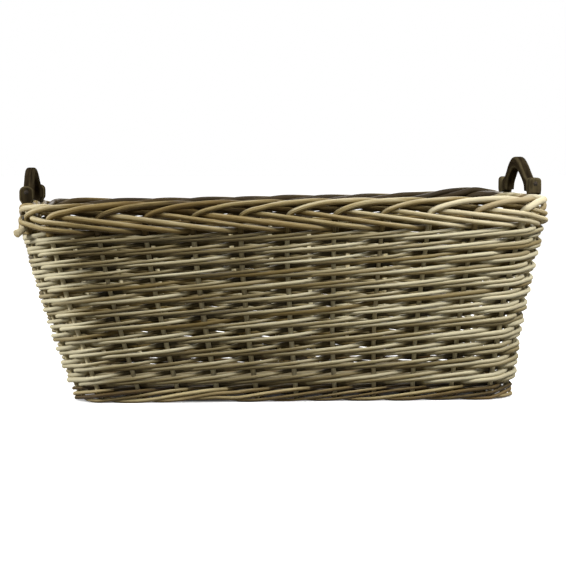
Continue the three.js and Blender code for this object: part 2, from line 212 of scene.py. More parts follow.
def woven_piece(name, rods, finish):
    """One mesh from a list of rods: path, radius, tone, brownness and, for some, the painted shade of its
    recesses.
    """
    corners, faces, tones, browns, grains = [], [], [], [], []
    start = 0
    for path, radius, tone, brown, *recess_shade in rods:
        path = np.asarray(path, float)
        tone = np.pad(np.broadcast_to(tone, len(path)), 1, mode="edge")
        recess_shade = np.pad(np.broadcast_to(recess_shade[0] if recess_shade else 0, len(path)), 1, mode="edge")
        path, radii = with_cut_ends(path, np.broadcast_to(radius, len(path)).astype(float))
        rings, across = rings_along(path, radii)
        count = len(rings)
        faces += tube_faces(start, count, SIDES)
        start += count * SIDES
        steps = np.linalg.norm(np.diff(path, axis=0), axis=1)
        along = np.concatenate([[0], np.cumsum(steps)]) + rng.uniform(0, GRAIN_LENGTH)
        grain = np.zeros((count, SIDES, 3))
        grain[..., 0] = along[:, None]
        grain[..., 1], grain[..., 2] = np.cos(ring_angle), np.sin(ring_angle)
        corners.append(rings.reshape(-1, 3))
        grains.append(grain.reshape(-1, 3))
        # painted light and shade are added to the tone of every point here
        tones.append((tone[:, None] + painted_light_and_shade(path, across, recess_shade)).ravel())
        browns.append(np.full(count * SIDES, brown))
    corners, tones, browns, grains = [np.concatenate(v) for v in (corners, tones, browns, grains)]
    return mesh_piece(name, corners, faces, finish, tone=tones, brown=browns, grain=grains)

print("each point of a rod carries tone, brown and grain")

# %% A piece in the place of a node
def dress(piece, node, body="basket"):
    """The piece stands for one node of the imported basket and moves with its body."""
    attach(piece, body)
    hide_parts(node)

# %% [markdown]
# ## The finish of the rods
# The rods are old and weathered: grey olive on most of them, cream where the skin has worn
# off, ochre brown on a few. A single colour would make the weave look like plastic, so the
# tone stored on each rod, painted light and shade included, chooses its place on a ramp of
# wood colours, from the darkest, which also serves as painted shade, to pale.
# Patches and long streaks of noise move it up and down, small dark flecks are the scars of
# side shoots, and the streaks also lift the surface slightly and change its roughness.

# %% A small kit for finishes
def paint(code):
    """A colour as painters write it, #rrggbb, in Blender's linear numbers."""
    parts = [int(code[i:i + 2], 16) / 255 for i in (1, 3, 5)]
    return [p / 12.92 if p <= 0.04045 else ((p + 0.055) / 1.055) ** 2.4 for p in parts] + [1]

class Finish:
    """The nodes of a material, or of the world."""
    def __init__(self, holder, surface="Principled BSDF"):
        self.holder = holder
        holder.use_nodes = True
        self.nodes = holder.node_tree.nodes
        self.surface = self.nodes[surface]

    def feed(self, socket, value):
        """Sets a socket to a plain value, or joins it to another node's output."""
        if isinstance(value, (int, float, list)):
            socket.default_value = value
        else:
            self.holder.node_tree.links.new(value, socket)

    def give(self, socket, value):
        self.feed(self.surface.inputs[socket], value)

    def add(self, kind, links=(), **settings):
        node = self.nodes.new("ShaderNode" + kind)
        for key, value in settings.items():
            if key in node.inputs:
                node.inputs[key].default_value = value
            else:
                setattr(node, key, value)
        for socket, value in links:
            self.feed(node.inputs[socket], value)
        return node

    def attribute(self, name, output):
        return self.add("Attribute", attribute_name=name).outputs[output]

    def noise(self, place, scale, detail, roughness=0.5):
        node = self.add("TexNoise", [("Vector", place)], Scale=scale, Detail=detail, Roughness=roughness)
        return node.outputs["Fac"]

    def combine(self, operation, *values, kind="Math", output=0):
        return self.add(kind, enumerate(values), operation=operation).outputs[output]

    def stretch(self, factor, low, high, to_low, to_high):
        node = self.add("MapRange", [("Value", factor), ("From Min", low), ("From Max", high),
                                     ("To Min", to_low), ("To Max", to_high)])
        return node.outputs["Result"]

    def ramp(self, factor, stops):
        node = self.add("ValToRGB", [("Fac", factor)])
        marks = node.color_ramp.elements
        while len(marks) < len(stops):
            marks.new(0.5)
        for mark, (place, code) in zip(marks, stops):
            mark.position, mark.color = place, paint(code)
        return node.outputs["Color"]

    def mix(self, factor, one, two):
        """The colours of a Mix node are its inputs 6 and 7."""
        return self.add("Mix", [(0, factor), (6, one), (7, two)], data_type="RGBA").outputs[2]

    def bump(self, height, strength, distance):
        node = self.add("Bump", [("Height", height)], Strength=strength, Distance=distance)
        self.give("Normal", node.outputs[0])

print("white in linear numbers:", paint("#ffffff"))

# %% Weathered rod
PATCHES, STREAKS = 0.24, 0.32  # how far patches and streaks move the tone, up and down
ALONG_ROD = (12, 2.4, 2.4)  # the streaks change slowly along a rod
GLOSS = 0.14  # dry wood with little shine

def weathered_rod(name, darkest, dark, middle, pale, brown, contrast):
    finish = Finish(bpy.data.materials.new(name))
    grain = finish.attribute("grain", "Vector")
    lengthwise = finish.add("Mapping", [("Vector", grain)], Scale=ALONG_ROD).outputs[0]
    streaks = finish.noise(lengthwise, scale=3.0, detail=5.0, roughness=0.62)
    patches = finish.noise(grain, scale=11.0, detail=3.0, roughness=0.55)
    flecks = finish.noise(grain, scale=46.0, detail=2.0)
    tone = finish.attribute("tone", "Fac")
    for pattern, reach in ((patches, PATCHES * contrast), (streaks, STREAKS * contrast)):
        tone = finish.combine("ADD", tone, finish.stretch(pattern, 0.25, 0.75, -reach, reach))
    wood = finish.ramp(tone, [(0.0, darkest), (0.22, dark), (0.55, middle), (1.0, pale)])
    browned = finish.mix(finish.attribute("brown", "Fac"), wood, paint(brown))
    scars = finish.stretch(flecks, 0.64, 0.74, 0.0, 0.65)
    finish.give("Base Color", finish.mix(scars, browned, paint("#3a2f1c")))
    finish.give("Roughness", finish.stretch(streaks, 0.3, 0.7, 0.5, 0.72))
    finish.give("Specular IOR Level", GLOSS)
    finish.bump(streaks, strength=0.35, distance=0.0012)
    return finish.holder

print("tone moved by patches and streaks:", PATCHES, STREAKS)

# %% Five kinds of rod
rod_colours = {
    "weaver": ("#302917", "#5b5138", "#887c59", "#c6be9f", "#6e5c31"),
    "stake": ("#4a4126", "#857955", "#b6a97f", "#ded5b5", "#84693a"),
    "border": ("#261e10", "#564929", "#8e7e53", "#cdc3a3", "#745b2b"),
    "foot": ("#1a140a", "#41361e", "#75643f", "#b8a97e", "#634a26"),
    "base": ("#2c2515", "#4f452d", "#7d7153", "#b0a584", "#715633")}
contrast = {"border": 1.35}  # the bent tips are the most blotched
rod_finish = {kind: weathered_rod(f"weathered_{kind}", *colours, contrast.get(kind, 1.0))
              for kind, colours in rod_colours.items()}
print("rod finishes:", [material.name for material in rod_finish.values()])

# %% [markdown]
# ## The stakes
# A stake of the long wall is a rod that comes down the front, turns under the base and goes
# up the back. The stakes of the ends and corners are shorter rods, pushed in under the base.
# Cylinders could stand for them, but a real rod is never dead straight, so each one is a path
# with a bend at its foot and a slow wander of less than a millimetre. The four rods that carry
# handle posts run on up into them.

# %% How a rod wanders, and what tone it has
BROWN_SHARE = 0.1  # one rod in ten is a brown one

def wavering(count, size):
    """A slow wander along a rod: three waves, each with its own pace and start."""
    place = np.linspace(0, 1, count)
    waves = sum(np.sin(place * rng.uniform(3, 14) + rng.uniform(0, 6.3)) for _ in range(3))
    return size * waves / 2

def tone_of_rod(spread=0.19, middle=0.5):
    """The tone of one rod among others of its kind, and how brown it is."""
    brown = rng.uniform(0.3, 0.7) if rng.random() < BROWN_SHARE else rng.uniform(0, 0.25)
    return float(np.clip(rng.normal(middle, spread), 0.05, 0.95)), brown

print("one rod in", round(1 / BROWN_SHARE), "is brown")

# %% One stake and its bend
STAKE_RADIUS = 0.003
CROSS_Z, LONG_Z = 0.005, 0.0114  # heights of the two layers of rods under the base
BEND = 0.006
STAKE_TOP = RIM_Z - 0.002
UPRIGHT_POINTS, BEND_POINTS = 26, 8

def upright(number, floor, top):
    """A stake from its top to the end of its bend, and the way it goes in under the base."""
    heights = np.linspace(top, floor + BEND, UPRIGHT_POINTS)
    path = wall_place(number + wavering(UPRIGHT_POINTS, 0.012), heights, 0)
    foot = stake_place(number, floor)
    facing = stake_facing[number] - math.pi / 2
    inward = -np.array([math.cos(facing), math.sin(facing), 0])
    share = np.linspace(0, 1, BEND_POINTS)[1:, None]
    bend = path[-1] * (1 - share) ** 2 + 2 * foot * share * (1 - share) + (foot + inward * BEND) * share ** 2
    return np.concatenate([path, bend]), inward

def stake_rod(path):
    radius = STAKE_RADIUS * (1 + wavering(len(path), 0.03))
    tone, brown = tone_of_rod(spread=0.12, middle=0.86)
    return [(path, radius, tone, brown / 2)]

print("stakes in millimetres:", 2000 * STAKE_RADIUS)

# %% Stakes that run under the base
CROSS_STAKES, ACROSS_POINTS = 9, 26
for step in range(1, CROSS_STAKES + 1):
    near, _ = upright(FRONT + step, CROSS_Z, STAKE_TOP)
    far, _ = upright(BACK + CROSS_STAKES + 1 - step, CROSS_Z, STAKE_TOP)
    share = np.linspace(0, 1, ACROSS_POINTS)[1:-1, None]
    path = np.concatenate([near, near[-1] * (1 - share) + far[-1] * share, far[::-1]])
    stake = woven_piece(f"stake_across_{step}", stake_rod(path), rod_finish["stake"])
    dress(stake, f"cross_stake_{step}")
print("stakes across:", CROSS_STAKES)

# %% Stakes of the ends and corners
POST_TIP = RIM_TOP + 0.005  # the stakes under the posts reach this high
TAIL_START, TAIL_END, TAIL_POINTS = 0.006, 0.050, 8
END_STAKES = 4

def tucked_stake(label, node, number, floor, top):
    path, inward = upright(number, floor, top)
    tail = path[-1] + inward * np.linspace(TAIL_START, TAIL_END, TAIL_POINTS)[:, None]
    path = np.concatenate([path, tail])
    dress(woven_piece(label, stake_rod(path), rod_finish["stake"]), node)

for end, first in (("right", RIGHT), ("left", LEFT)):
    for step in range(1, END_STAKES + 1):
        top = POST_TIP if step in (1, END_STAKES) else STAKE_TOP
        tucked_stake(f"stake_{end}_{step}", f"end_stake_{end}_{step}", first + step, CROSS_Z, top)
corner_stakes = {"front_left": FRONT, "front_right": RIGHT - 1, "right_front": RIGHT, "right_back": BACK - 1,
                 "back_right": BACK, "back_left": LEFT - 1, "left_back": LEFT, "left_front": STAKES - 1}
for name, number in corner_stakes.items():
    floor = LONG_Z if stake_on_end[number] else CROSS_Z
    tucked_stake(f"stake_corner_{name}", f"corner_stake_{name}", number, floor, STAKE_TOP)
print("stakes of the ends and corners:", 2 * END_STAKES + len(corner_stakes))

# %% [markdown]
# ## The base
# Inside, the floor of the basket is a close row of rods laid lengthwise over the cross rods.
# A flat plate with a bump would have no shadow between the rods, so each strip of the packed
# model becomes a row of separate rods, which rise and dip in turn over the cross rods, as
# woven rods do. One more rod fills the slot that the tucked corner stakes leave beside the
# outer strips.

# %% Rods of the base
BASE_STRIPS = 7
ROD_SPACE, BASE_FULLNESS = 0.0052, 0.49  # rods lie about this far apart, and their radius in that
UNEVEN = 0.004  # the ends of the rods differ by up to this much
DIP = 0.0009
SLOT, SLOT_END, SLOT_FULLNESS = 0.0068, 0.031, 0.48  # the slot beside an outer strip, and its rod
BASE_POINTS = 90

cross_places = [stake_place(FRONT + step, CROSS_Z)[0] for step in range(1, CROSS_STAKES + 1)]
for strip in range(1, BASE_STRIPS + 1):
    low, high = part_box(f"base_weave_{strip}")
    middle_z = (low.z + high.z) / 2
    count = max(2, round((high.y - low.y) / ROD_SPACE))
    pitch = (high.y - low.y) / count
    rods = []
    for row in range(count):
        x = np.linspace(low.x + rng.uniform(0, UNEVEN), high.x - rng.uniform(0, UNEVEN), BASE_POINTS)
        over = np.interp(x, cross_places, [math.pi * step for step in range(CROSS_STAKES)])
        dip = DIP * np.cos(over + math.pi * (row + strip))
        y = low.y + pitch * (row + 0.5) + wavering(BASE_POINTS, 0.0004)
        path = np.stack([x, y, middle_z + dip], -1)
        rods.append((path, pitch * BASE_FULLNESS * (1 + wavering(BASE_POINTS, 0.05)), *tone_of_rod()))
    if strip in (1, BASE_STRIPS):
        y = high.y + SLOT / 2 if strip == 1 else low.y - SLOT / 2
        x = np.linspace(low.x + SLOT_END, high.x - SLOT_END, BASE_POINTS)
        path = np.stack([x, y + wavering(BASE_POINTS, 0.0003), middle_z + 0 * x], -1)
        rods.append((path, SLOT * SLOT_FULLNESS, *tone_of_rod()))
    dress(woven_piece(f"base_rods_{strip}", rods, rod_finish["base"]), f"base_weave_{strip}")
print("base strips:", BASE_STRIPS)

# %% [markdown]
# ## The foot
# The basket stands on a low band of thin rods woven round the stakes where they turn up. Each
# rod starts inside on the edge of the base, comes out between two stakes near the floor,
# climbs slowly to the right in front of three stakes and goes in again behind the next. Rods
# like this could be one long spiral, but single strokes are closer to the real band, where
# ends show and the lower edge is uneven, and worn away at the left of the front.

# %% One stroke of the foot
def through_keys(keys, steps):
    """A smooth line through key points: each gets its slope from the points beside it."""
    keys = np.asarray(keys, float)
    padded = np.concatenate([[2 * keys[0] - keys[1]], keys, [2 * keys[-1] - keys[-2]]])
    t = np.linspace(0, 1, steps, endpoint=False)[:, None]
    parts = []
    for a, b, c, d in zip(padded, padded[1:], padded[2:], padded[3:]):
        parts.append(0.5 * (2 * b + (c - a) * t + (2 * a - 5 * b + 4 * c - d) * t ** 2
                            + (3 * b - a - 3 * c + d) * t ** 3))
    return np.concatenate(parts + [keys[-1:]])

# stake spaces along, height, and out from the stakes
foot_stroke = [
    (-1.15, 0.0128, -0.0090), (-0.60, 0.0124, -0.0090), (-0.20, 0.0092, -0.0064), (0.14, 0.0048, -0.0004),
    (0.45, 0.0029, 0.0050), (0.85, 0.0027, 0.0060), (1.25, 0.0044, 0.0062), (1.80, 0.0080, 0.0062),
    (2.35, 0.0117, 0.0062), (2.85, 0.0147, 0.0056), (3.20, 0.0165, 0.0040), (3.45, 0.0174, 0.0014),
    (3.72, 0.0180, -0.0030), (4.00, 0.0183, -0.0058), (4.50, 0.0186, -0.0062), (5.20, 0.0188, -0.0062)]
GAP_LIFT, GAP_FRONT = 0.0046, -0.1  # the worn place is in front of this y
GAP_CLIMB, GAP_FALL = (-0.165, -0.085), (-0.058, -0.086)

def worn_gap(x, y):
    """At the left of the front the lowest rods are gone: the lower edge climbs and steps down."""
    return np.where(y < GAP_FRONT, GAP_LIFT * ease(x, *GAP_CLIMB) * ease(x, *GAP_FALL), 0)

print("one stroke of the foot passes", foot_stroke[-1][0] - foot_stroke[0][0], "stake spaces")

# %% Thin rods round the foot
FOOT_RADIUS, FOOT_BUTT, FOOT_TIP = 0.0023, 1.06, 0.9
FOOT_TOP, FOOT_LOWEST = 0.022, 0.0025  # no rod's middle is lower, so that the basket stands level
FOOT_INSIDE, FOOT_SHADE = 0.003, 0.4  # what lies further in than this is darker

rods = []
for stake in range(STAKES):
    line = through_keys(foot_stroke, 8)
    count = stake + line[:, 0] + wavering(len(line), 0.04)
    out = line[:, 2] + rng.uniform(-0.0007, 0.0011) + wavering(len(line), 0.0003)
    height = line[:, 1] + wavering(len(line), 0.0006)
    flat = wall_place(count, height, out)
    lifted = np.where(out > 0, worn_gap(flat[:, 0], flat[:, 1]), 0)
    height = np.maximum(height + lifted * (1 - height / FOOT_TOP), FOOT_LOWEST)
    path = smooth(wall_place(count, height, out))
    radius = FOOT_RADIUS * (1 + rng.normal(0, 0.09)) * np.linspace(FOOT_BUTT, FOOT_TIP, len(line))
    tone, brown = tone_of_rod(spread=0.25, middle=0.50)
    rods.append((path, radius, tone - FOOT_SHADE * (out < FOOT_INSIDE) + wavering(len(line), 0.1), brown))
dress(woven_piece("foot_rods", rods, rod_finish["foot"]), "foot_wale")
print("strokes in the foot:", len(rods))

# %% [markdown]
# ## The wall
# One long rod starts behind every stake, just above the foot. Each passes in front of two
# stakes and behind the third, and climbs to the right all the way up, so that after about one
# round of the basket its thin tip is under the border. All 34 rods do the same, side by side.
# Where a rod passes behind, the stake shows in a small window. In the front the rods climb
# faster there and are thinner and paler, so the windows are open; the back and the ends are
# woven closer. A long rod could be one mesh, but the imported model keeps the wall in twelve
# courses, so each rod is cut into strokes behind the stakes, where no cut shows, and the
# strokes of one course make one piece.

# %% How one rod climbs past the stakes
COURSES, STROKE = 12, 3  # a stroke passes three stakes
ROD_LENGTH = COURSES * STROKE  # in stake spaces
STAKE_SPACE = 0.05  # about, in metres
WALL_BOTTOM, WALL_TOP, TALLER_BELOW = 0.0206, 0.2122, 0.1
ROD_BUTT, ROD_TIP = 0.00266, 0.00246
BEHIND = 0.50  # a rod goes in this many spaces before the stake it passes behind

def climb(passed):
    """Height of a rod after so many stakes: the lower courses are a little taller."""
    share = passed / ROD_LENGTH
    return WALL_BOTTOM + (WALL_TOP - WALL_BOTTOM) * (share + TALLER_BELOW / math.pi * np.sin(math.pi * share))

def in_and_out(passed, reach):
    """Distance out from the stakes: behind every third stake, in front of the other two."""
    near = np.abs(np.mod(passed + STROKE / 2, STROKE) - STROKE / 2)
    hidden = 0.5 + 0.5 * np.cos(math.pi * np.minimum(near, BEHIND) / BEHIND)
    return reach * (1 - 2 * hidden), hidden

def radius_at(passed):
    return ROD_BUTT + (ROD_TIP - ROD_BUTT) * passed / ROD_LENGTH

slope = math.atan2(climb(STROKE) - climb(0), STROKE * STAKE_SPACE)
print("slope of the strokes in degrees:", round(math.degrees(slope), 1))

# %% Where the wall is open, and where light is painted
LEAP, LEAP_PLACE = 0.0013, 2.5  # in the front a rod climbs faster round this place of a stroke
LEAF_PLACE, LEAF_REACH = 2.4, 0.5  # and is thinner and paler near here
leap_front = np.interp(stake_along, [0.4, 1], [1, 0.3])
leap_share = np.where(stake_on_end, 0.05, np.where(np.arange(STAKES) < RIGHT, leap_front, 0))
LIT_CORNER = STAKES - 0.5  # painted light: the front left corner is painted the palest

def between_stakes(values, count):
    """A value that is given at each stake, for any place round the basket."""
    return np.interp(np.mod(count, STAKES), np.arange(STAKES + 1), np.append(values, values[0]))

# painted light round the front left corner, fading out within about a stake space
def lit_corner(count):
    from_corner = np.abs(np.mod(count - LIT_CORNER + STAKES / 2, STAKES) - STAKES / 2)
    return ease(from_corner, 1.05, 0.3)

print("stakes in the open front:", int((leap_share > 0.2).sum()))

# %% The long rods, each with its own errors
PER_SPACE = 9  # points in one stake space
CORNER_PUSH = 0.0034  # the corner stakes push the rods out by up to this much
FULLER_BEHIND, FULLER_CLOSED, LEAF_THIN = 0.42, 0.15, 0.2
# painted shade behind the stakes, and painted light to the right and at the front left corner
RECESS_SHADE, LIGHT_TO_RIGHT, CORNER_LIGHT, LEAF_PALE = 0.8, 0.45, 0.9, 0.3

passed = np.linspace(0, ROD_LENGTH, ROD_LENGTH * PER_SPACE + 1)
long_rods = []
for stake in range(STAKES):
    thick = radius_at(passed) * (1 + rng.normal(0, 0.05)) * (1 + wavering(len(passed), 0.03))
    height = climb(passed) + wavering(len(passed), 0.0005)
    leaping = between_stakes(leap_share, stake + passed)
    height = height + LEAP * leaping * np.sin(2 * math.pi * (passed - LEAP_PLACE) / STROKE)
    out, hidden = in_and_out(passed, STAKE_RADIUS + radius_at(passed))
    leaf = leaping * ease(np.abs(np.mod(passed, STROKE) - LEAF_PLACE), LEAF_REACH, 0)
    thick = thick * (1 + FULLER_BEHIND * hidden) * (1 + FULLER_CLOSED * (1 - leaping))
    thick = thick * (1 - LEAF_THIN * leaf)
    pushed = between_stakes(beside_corner, stake + passed) * rng.uniform(0.0, CORNER_PUSH)
    out = out + np.where(out > STAKE_RADIUS, pushed, 0) + wavering(len(passed), 0.0003)
    path = smooth(wall_place(stake + passed, height, out), 2)
    tone, brown = tone_of_rod(spread=0.20, middle=0.36)
    # painted shade: a rod is darker where it goes in behind a stake
    recess_shade = RECESS_SHADE * ease(out, 0.0018, -0.0012)
    # painted light: the rods are paler towards the right end and at the front left corner
    lit_to_right = LIGHT_TO_RIGHT * np.clip(path[:, 0] / 0.25, -0.08, 1)
    tone = tone + lit_to_right + CORNER_LIGHT * lit_corner(stake + passed) + LEAF_PALE * leaf
    long_rods.append((path, thick, tone + wavering(len(passed), 0.12), brown, recess_shade))
print("long rods:", len(long_rods))

# %% Twelve courses of strokes
for course in range(COURSES):
    start = course * STROKE * PER_SPACE
    cut = slice(start, start + STROKE * PER_SPACE + 1)
    rods = [(path[cut], thick[cut], tone[cut], brown, recess_shade[cut])
            for path, thick, tone, brown, recess_shade in long_rods]
    dress(woven_piece(f"wall_course_{course + 1:02d}", rods, rod_finish["weaver"]),
          f"wale_course_{course + 1:02d}")
print("courses:", COURSES, "with", STAKES, "strokes each")

# %% [markdown]
# ## The border
# The tips of the stakes are not cut off at the top: each is bent over to the right and plaited
# with its neighbours. A tip comes up behind the others to a knuckle, climbs over the top edge
# to the inside, comes out again past the third stake, slopes down in front of two stakes and
# ends behind the sixth. A torus with a plaited bump would look right only from afar, so 34
# copies of one such line, each with its own small errors, lock into each other and make the
# plait with its open spaces. At the front left corner one tip was left loose, at the back
# right corner the tips lie in a heap, and six thin rods run round the inside below, given a
# very dark tone as painted shade. The tips are painted paler to the right and at the front
# left corner, and darker further in and towards the back, as painted light and shade.

# %% One tip of the border
# stake spaces along, height above the underside, and out from the stakes
border_tip = [
    (0.00, -0.0060, 0.0000), (0.00, 0.0040, 0.0002), (0.00, 0.0110, 0.0012), (0.04, 0.0160, 0.0034),
    (0.20, 0.0206, 0.0060), (0.60, 0.0262, 0.0070), (1.00, 0.0288, 0.0056), (1.40, 0.0298, 0.0016),
    (1.75, 0.0290, -0.0040), (2.15, 0.0262, -0.0076), (2.60, 0.0228, -0.0080), (2.98, 0.0196, -0.0062),
    (3.16, 0.0182, -0.0004), (3.40, 0.0164, 0.0054), (3.70, 0.0140, 0.0074), (4.00, 0.0115, 0.0078),
    (4.50, 0.0074, 0.0077), (5.00, 0.0034, 0.0075), (5.45, 0.0002, 0.0070), (5.72, -0.0012, 0.0044),
    (5.90, -0.0018, -0.0010), (6.02, -0.0020, -0.0054), (6.22, -0.0022, -0.0070)]
FREE_FROM = 0.3  # from here on a tip wanders
FRONT_CROWN, BACK_SAG = 0.0015, -1.6  # the front rises in its middle, and the back sinks by more
crown_share = np.where(stake_on_end, 0, 1 - stake_along ** 2)
crown_share[BACK:LEFT] *= BACK_SAG
end_share = np.where(stake_on_end, 0.97, 1.0)
HEAP_RISE, HEAP_PLACE, HEAP_REACH = 0.0062, BACK - 0.1, 1.6

def heap(count):
    """At the back right corner the tips lie higher over each other than elsewhere."""
    near = ease(np.abs(np.mod(count, STAKES) - HEAP_PLACE), HEAP_REACH, 0)
    return HEAP_RISE * near ** 2 * (3 - 2 * near)

def border_height(count, rise):
    """Height of a point of the border that is drawn so far above the underside."""
    raised = 1 + FRONT_CROWN / (RIM_TOP - RIM_Z) * between_stakes(crown_share, count)
    return RIM_Z + rise * raised * between_stakes(end_share, count) + heap(count) * ease(rise, 0, 0.029)

print("a tip of the border passes", border_tip[-1][0], "stake spaces")

# %% The tips, plaited
TIP_BUTT, TIP_END = 0.0037, 0.0031  # radius of a tip at its knuckle and at its end
LOOSE_TIP, LOOSE_FROM = LEFT, STAKES - 0.85
LOOSE_WAY, LOOSE_POINTS = np.array([-0.62, -0.70, -0.36]), 6
# painted light and shade on the tips: paler to the right and at the front left corner, darker further in and
# towards the back
BORDER_LIT_RIGHT, BORDER_CORNER_LIGHT, BORDER_SHADE, BORDER_BACK_SHADE = 0.45, 0.4, 0.45, 0.46
BROWNER, SHADE_BROWN, BACK_GREY = 1.25, 0.10, 0.75
FULLER_INSIDE = 0.3
OUTER_FACE, TIP_PUSH = 0.004, (0.0005, 0.003)  # the corner stakes push what lies further out

def loosened(path, radius, out, count):
    """The tip that is left long at the front left corner, and thickens to its cut end."""
    kept = count < LOOSE_FROM
    path, radius, out, count = path[kept], radius[kept], out[kept], count[kept]
    path = np.concatenate([path, path[-1] + np.linspace(0.003, 0.015, LOOSE_POINTS)[:, None] * LOOSE_WAY])
    radius = np.append(radius, np.linspace(0.0036, 0.0054, LOOSE_POINTS))
    out = np.append(out, np.full(LOOSE_POINTS, 0.008))
    return path, radius, out, np.append(count, np.full(LOOSE_POINTS, LIT_CORNER))

rods = []
for stake in range(STAKES):
    line = through_keys(border_tip, 5)
    free = line[:, 0] > FREE_FROM
    count = stake + line[:, 0] + np.where(free, wavering(len(line), 0.02), 0)
    height = border_height(count, line[:, 1]) + np.where(free, wavering(len(line), 0.0007), 0)
    pushed = between_stakes(beside_corner, count) * rng.uniform(*TIP_PUSH)
    out = line[:, 2] + np.where(line[:, 2] > OUTER_FACE, pushed, 0)
    path = smooth(wall_place(count, height, out))
    radius = np.linspace(TIP_BUTT, TIP_END, len(line)) * (1 + rng.normal(0, 0.06))
    if stake == LOOSE_TIP:
        path, radius, out, count = loosened(path, radius, out, count)
    tone, brown = tone_of_rod(spread=0.18, middle=0.38)
    # painted shade: the tips are darker and less brown towards the back
    behind = ease(path[:, 1], 0.07, 0.14)
    # painted light: the tips are paler towards the right end
    lit_to_right = np.clip((path[:, 0] + 0.05) / 0.3, -0.2, 1)
    shaded = ease(out, 0.0035, -0.0045)
    brown = (BROWNER * brown + SHADE_BROWN * (1 - lit_to_right.mean())) * (1 - BACK_GREY * behind.mean())
    tone = tone + BORDER_LIT_RIGHT * lit_to_right * (1 - behind) + BORDER_CORNER_LIGHT * lit_corner(count)
    tone = tone - BORDER_SHADE * shaded - BORDER_BACK_SHADE * behind
    rods.append((path, radius * (1 + FULLER_INSIDE * shaded), tone, brown))
print("tips in the border:", len(rods))

# %% Thin rods inside below the tips, dark as painted shade
INNER_RODS, INNER_POINTS, INNER_OVERLAP = 6, 60, 0.6
INNER_RADIUS, INNER_DROP, INNER_OUT = 0.0030, 0.0034, -0.0082
# painted shade: the inner rods are given a very dark tone
INNER_SHADE_TONE, INNER_BROWN = 0.12, 0.3
for part in range(INNER_RODS):
    start, end = part * STAKES / INNER_RODS, (part + 1) * STAKES / INNER_RODS
    count = np.linspace(start - INNER_OVERLAP, end + INNER_OVERLAP, INNER_POINTS)
    height = RIM_Z - INNER_DROP + wavering(INNER_POINTS, 0.0005)
    path = smooth(wall_place(count, height, INNER_OUT + wavering(INNER_POINTS, 0.0004)), 2)
    rods.append((path, INNER_RADIUS, INNER_SHADE_TONE + wavering(INNER_POINTS, 0.08), INNER_BROWN))
dress(woven_piece("border_plait", rods, rod_finish["border"]), "rim_border")
print("rods in the border:", len(rods))

# %% [markdown]
# ## The handles
# Each handle is a bow of dark wood between two small posts. A post stands on the tip of a
# stake, and an iron pin through it carries the bow, so the handle can swing in and out. The
# bow is a loft: its outer and its inner edge are two smooth lines, and rounded sections are
# stretched between them, so the legs are broad and the crown is slim. Modelling it as a box
# with a bevel would leave the arch faceted. The wood is nearly black, with fine fibres. Its
# edges are paler, from rubbed wear and painted highlight, and the right handle is painted
# paler than the left as painted light.

# %% Dark wood and iron
ALONG_FIBRES = (14, 150, 150)

def dark_wood(name):
    finish = Finish(bpy.data.materials.new(name))
    grain = finish.attribute("grain", "Vector")
    fibres = finish.add("Mapping", [("Vector", grain)], Scale=ALONG_FIBRES).outputs[0]
    streaks = finish.noise(fibres, scale=2.2, detail=6.0, roughness=0.65)
    stains = finish.noise(grain, scale=70.0, detail=3.0)
    wood = finish.ramp(streaks, [(0.28, "#14100a"), (0.5, "#292217"), (0.74, "#443b28")])
    stained = finish.mix(finish.stretch(stains, 0.45, 0.75, 0.0, 0.55), wood, paint("#1e1811"))
    uneven = finish.stretch(stains, 0.3, 0.7, 0.2, 0.9)
    # the edges are paler from rubbed wear and painted highlight, and the right handle more so as painted light
    paled = finish.combine("MULTIPLY", finish.attribute("wear", "Fac"), uneven)
    finish.give("Base Color", finish.mix(paled, stained, paint("#6b6146")))
    finish.give("Roughness", finish.stretch(streaks, 0.3, 0.7, 0.52, 0.74))
    finish.give("Specular IOR Level", 0.0)
    finish.bump(streaks, strength=0.35, distance=0.0008)
    return finish.holder

def pin_iron(name):
    finish = Finish(bpy.data.materials.new(name))
    pits = finish.noise(finish.add("TexCoord").outputs["Object"], scale=900.0, detail=4.0)
    finish.give("Base Color", finish.ramp(pits, [(0.35, "#1d1a17"), (0.6, "#39332c"), (0.75, "#5a4634")]))
    finish.give("Roughness", finish.stretch(pits, 0.3, 0.7, 0.6, 0.8))
    finish.give("Metallic", 0.25)
    finish.give("Specular IOR Level", 0.1)
    finish.bump(pits, strength=0.3, distance=0.0003)
    return finish.holder

wood_finish = dark_wood("dark_handle_wood")
iron_finish = pin_iron("dark_pin_iron")
print("handle finishes:", wood_finish.name, iron_finish.name)

# %% Lofts for the wooden pieces
def loft(name, sections, grains, wear, finish):
    """A closed skin over sections that all have the same number of points."""
    count, sides = sections.shape[:2]
    return mesh_piece(name, sections.reshape(-1, 3), tube_faces(0, count, sides), finish,
                      grain=grains.reshape(-1, 3), wear=wear.reshape(-1))

def rounded_section(corner_steps=4, roundness=0.52):
    """Points of a rounded square from -1 to 1, and how close each is to an edge."""
    points, wear = [], []
    for quarter in range(4):
        middle = math.pi / 2 * (quarter + 0.5)
        centre_x = math.copysign(1 - roundness, math.cos(middle))
        centre_y = math.copysign(1 - roundness, math.sin(middle))
        for step in range(corner_steps + 1):
            angle = math.pi / 2 * (quarter + step / corner_steps)
            points.append((centre_x + roundness * math.cos(angle), centre_y + roundness * math.sin(angle)))
            wear.append(math.sin(math.pi * step / corner_steps))
    return np.array(points), np.array(wear)

square, edge_wear = rounded_section()
print("points of a section:", len(square))

